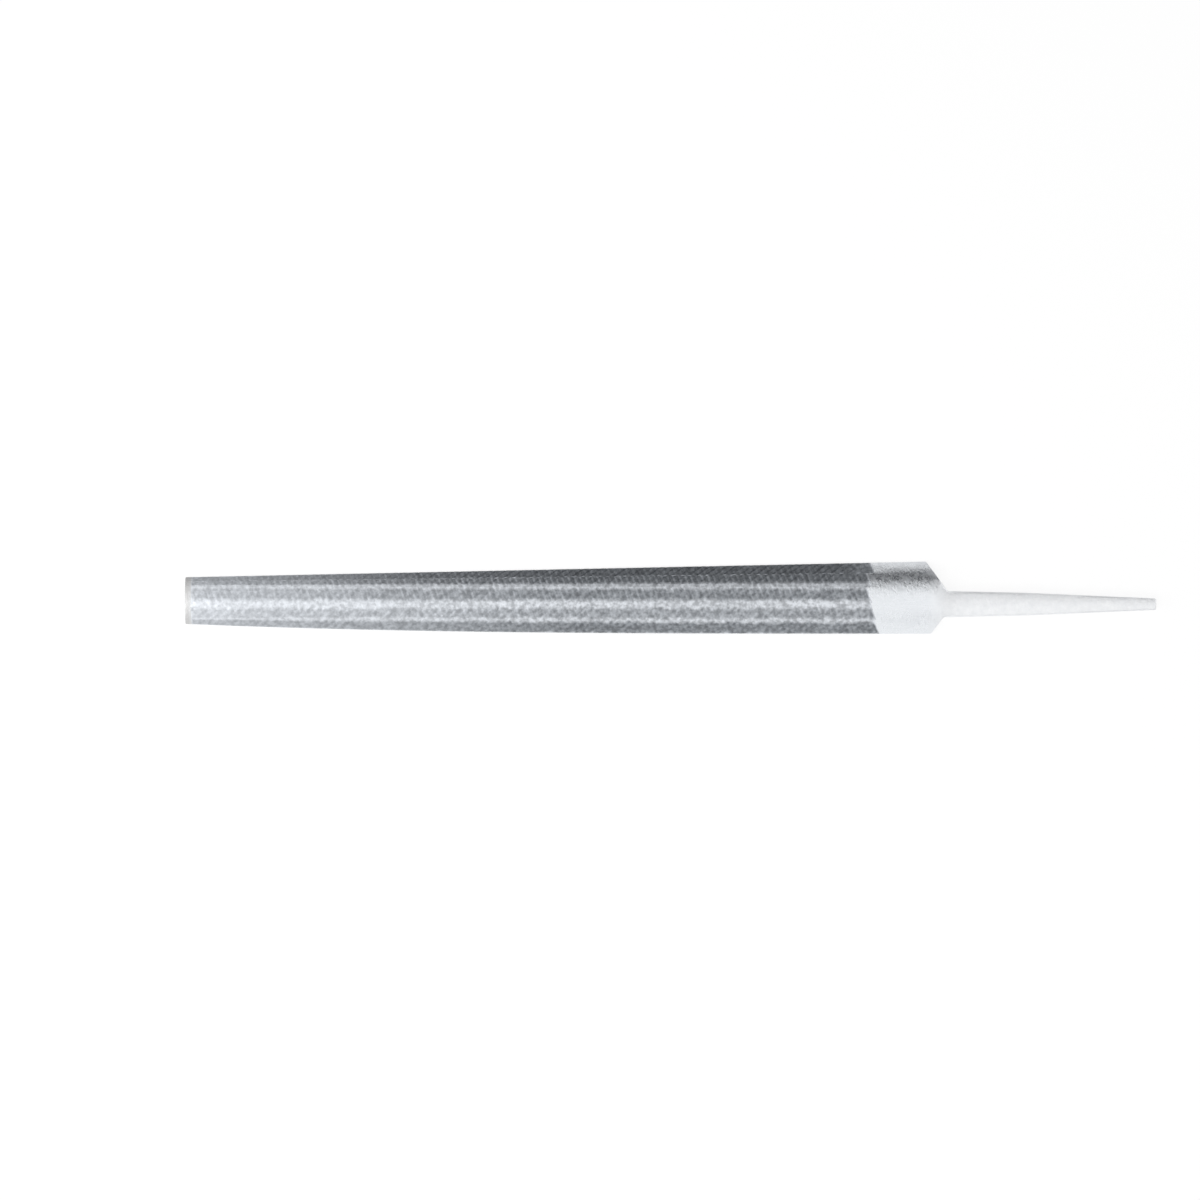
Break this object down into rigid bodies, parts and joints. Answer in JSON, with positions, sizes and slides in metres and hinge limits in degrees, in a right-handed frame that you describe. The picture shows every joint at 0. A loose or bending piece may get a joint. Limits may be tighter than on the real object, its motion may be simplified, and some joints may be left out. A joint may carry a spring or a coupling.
{
  "type": "half round file",
  "caption": "Half round file with a tapered toothed blade, a bare heel, sloped shoulders and a tapered tang for a handle.",
  "frame": {"origin": "middle of the whole length and of the heel's width, on the plane of the flat side", "axes": "+X from the tip towards the tang, +Z out of the round back, +Y across the blade"},
  "size_m": [0.3276, 0.0244, 0.007],
  "materials": {
    "file_steel": "bare hardened tool steel, with cut teeth on the blade, and ground smooth on the heel and the tang"
  },
  "bodies": {
    "root": {"blade_and_tang": "file_steel"}
  },
  "joints": []
}
